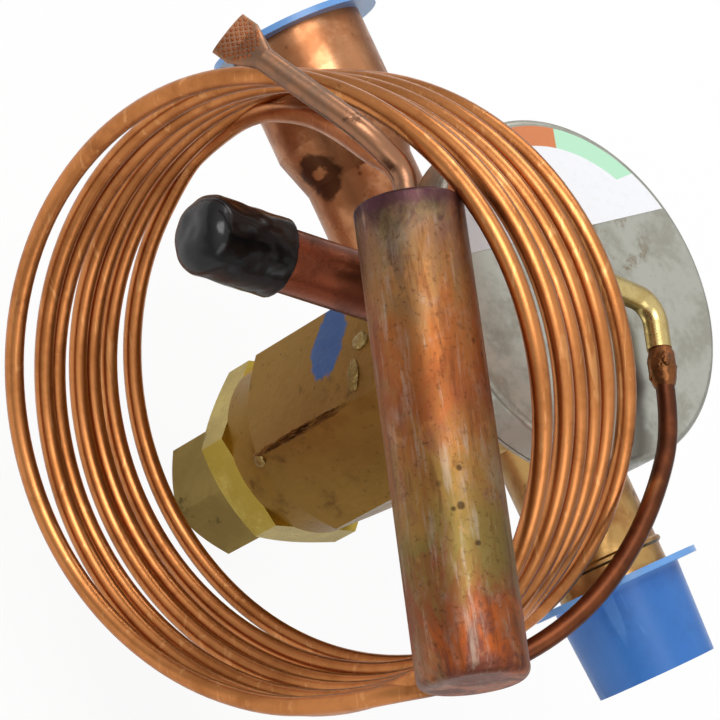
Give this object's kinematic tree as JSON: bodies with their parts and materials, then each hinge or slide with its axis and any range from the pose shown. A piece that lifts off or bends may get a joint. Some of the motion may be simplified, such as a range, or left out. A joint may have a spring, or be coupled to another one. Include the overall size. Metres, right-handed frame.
{
  "type": "thermostatic expansion valve",
  "caption": "Externally equalised thermostatic expansion valve with copper solder ends, coiled capillary, sensing bulb and shipping caps.",
  "frame": {"origin": "centre of the inlet socket's mouth", "axes": "+X from the inlet towards the outlet, +Y towards the sensing bulb, +Z along the valve axis to the power head"},
  "size_m": [0.0933, 0.0785, 0.0931],
  "materials": {
    "valve_body": "turned brass bar, oxidised",
    "inlet_tube": "copper tube, drawn",
    "outlet_tube": "copper tube, swaged, stained",
    "equalizer_tube": "copper tube, drawn",
    "inlet_braze": "braze fillet",
    "outlet_braze": "braze fillet",
    "equalizer_braze": "braze fillet",
    "seat_ring": "ground",
    "pin_carrier": "turned",
    "valve_pin": "ground",
    "push_rod_1": "ground",
    "push_rod_2": "ground",
    "buffer_plate": "stamped",
    "superheat_spring": "spring steel",
    "spring_seat": "turned",
    "adjusting_stem": "turned, square end",
    "bottom_nut": "bright turned brass",
    "stem_packing": "moulded ring",
    "seal_cap": "turned brass, dull",
    "seal_cap_gasket": "soft copper ring",
    "lower_housing": "stamped stainless",
    "diaphragm": "thin stainless sheet",
    "upper_housing": "stamped stainless",
    "head_label": "plain printed label",
    "inlet_cap": "moulded blue polyethylene",
    "outlet_plug": "moulded blue polyethylene",
    "equalizer_cap": "dipped black vinyl",
    "capillary_stub": "pale brass tube",
    "solder_joint": "silver solder over copper",
    "capillary_lead": "drawn copper capillary",
    "capillary_coil": "drawn copper capillary",
    "capillary_tail": "drawn copper capillary",
    "bulb_shell": "spun copper, heat tinted",
    "fill_tube": "copper, crimped and knurled end"
  },
  "bodies": {
    "valve": {"valve_body": "valve_body", "inlet_tube": "inlet_tube", "outlet_tube": "outlet_tube", "equalizer_tube": "equalizer_tube", "inlet_braze": "inlet_braze", "outlet_braze": "outlet_braze", "equalizer_braze": "equalizer_braze", "seat_ring": "seat_ring", "bottom_nut": "bottom_nut", "stem_packing": "stem_packing", "lower_housing": "lower_housing", "diaphragm": "diaphragm", "upper_housing": "upper_housing", "head_label": "head_label", "capillary_stub": "capillary_stub", "solder_joint": "solder_joint", "capillary_lead": "capillary_lead", "capillary_coil": "capillary_coil", "capillary_tail": "capillary_tail", "bulb_shell": "bulb_shell", "fill_tube": "fill_tube"},
    "valve_train": {"pin_carrier": "pin_carrier", "valve_pin": "valve_pin", "push_rod_1": "push_rod_1", "push_rod_2": "push_rod_2", "buffer_plate": "buffer_plate"},
    "stem": {"adjusting_stem": "adjusting_stem"},
    "seat_nut": {"spring_seat": "spring_seat", "superheat_spring": "superheat_spring"},
    "cap_washer": {"seal_cap_gasket": "seal_cap_gasket"},
    "seal_cap": {"seal_cap": "seal_cap"},
    "inlet_cap": {"inlet_cap": "inlet_cap"},
    "outlet_plug": {"outlet_plug": "outlet_plug"},
    "equalizer_cap": {"equalizer_cap": "equalizer_cap"}
  },
  "joints": [
    {"name": "pin_stroke", "type": "slide", "parent": "valve", "child": "valve_train", "axis": [0, 0, -1], "range_m": [0, 0.0005], "stiffness_N_per_m": 2000, "deforming": ["superheat_spring"]},
    {"name": "stem_turn", "type": "hinge", "parent": "valve", "child": "stem", "pos_m": [0.0382, 0, -0.036], "axis": [0, 0, 1], "range_deg": [-720, 720]},
    {"name": "spring_seat_travel", "type": "slide", "parent": "valve", "child": "seat_nut", "axis": [0, 0, 1], "range_m": [-0.002, 0.002], "deforming": ["superheat_spring"]},
    {"name": "seal_cap_rise", "type": "slide", "parent": "valve", "child": "cap_washer", "axis": [0, 0, -1], "range_m": [0, 0.008]},
    {"name": "seal_cap_turn", "type": "hinge", "parent": "cap_washer", "child": "seal_cap", "pos_m": [0.0382, 0, -0.05], "axis": [0, 0, -1], "range_deg": [0, 2880]},
    {"name": "inlet_cap_pull", "type": "slide", "parent": "valve", "child": "inlet_cap", "axis": [-1, 0, 0], "range_m": [0, 0.06]},
    {"name": "outlet_plug_pull", "type": "slide", "parent": "valve", "child": "outlet_plug", "axis": [1, 0, 0], "range_m": [0, 0.05]},
    {"name": "equalizer_cap_pull", "type": "slide", "parent": "valve", "child": "equalizer_cap", "axis": [0.5, 0.866, 0], "range_m": [0, 0.05]}
  ],
  "couplings": [
    {"joint": "stem_turn", "follows": "spring_seat_travel", "rad_per_m": 6283.2},
    {"joint": "seal_cap_rise", "follows": "seal_cap_turn", "m_per_rad": 0.00015915}
  ]
}
